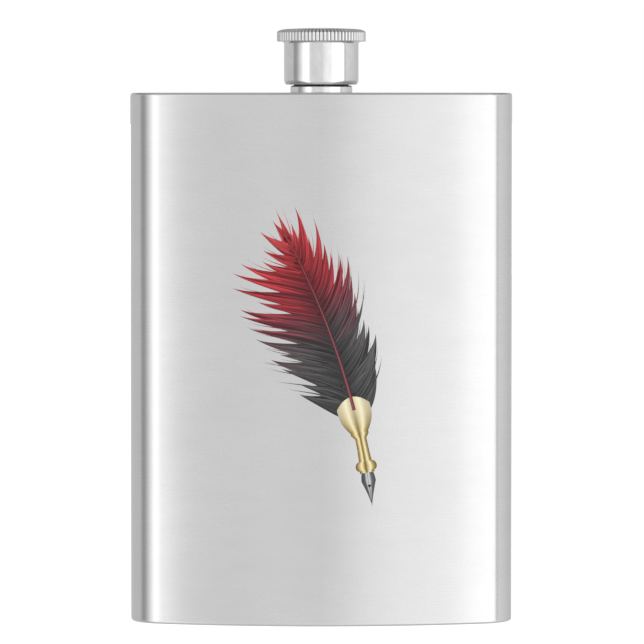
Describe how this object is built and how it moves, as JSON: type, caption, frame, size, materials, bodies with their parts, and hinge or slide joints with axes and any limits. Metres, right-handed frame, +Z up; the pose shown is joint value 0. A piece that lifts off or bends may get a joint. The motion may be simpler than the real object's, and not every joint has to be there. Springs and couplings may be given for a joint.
{
  "type": "hip flask",
  "caption": "Curved brushed steel hip flask with a threaded neck, a knurled screw cap with an inner seal, and a printed feather quill on the front.",
  "frame": {"origin": "on the resting plane, below the middle of the flask's bounding box", "axes": "+Z up through the cap, the printed front faces -Y, the hollow of the back faces +Y, +X to the right as seen from the front"},
  "size_m": [0.096, 0.0276, 0.1492],
  "materials": {
    "brushed_steel": "stainless steel, fine brushing across the width",
    "polished_steel": "stainless steel, turned and nearly polished",
    "insert_plastic": "moulded natural polypropylene, slight sheen",
    "seal_silicone": "smooth translucent silicone",
    "print_ink": "cured printing ink, low sheen"
  },
  "bodies": {
    "flask": {"body_wrap": "brushed_steel", "top_plate": "brushed_steel", "bottom_plate": "brushed_steel", "neck": "polished_steel", "printed_emblem": "print_ink"},
    "seal": {"cap_seal": "seal_silicone"},
    "cap": {"cap_shell": "polished_steel", "cap_thread_insert": "insert_plastic"}
  },
  "joints": [
    {"name": "cap_rise", "type": "slide", "parent": "flask", "child": "seal", "axis": [0, 0, 1], "range_m": [0, 0.0125]},
    {"name": "cap_turn", "type": "hinge", "parent": "seal", "child": "cap", "pos_m": [0, -0.0027, 0.135], "axis": [0, 0, 1], "range_deg": [0, 1800]}
  ],
  "couplings": [
    {"joint": "cap_rise", "follows": "cap_turn", "m_per_rad": 0.00039789}
  ]
}
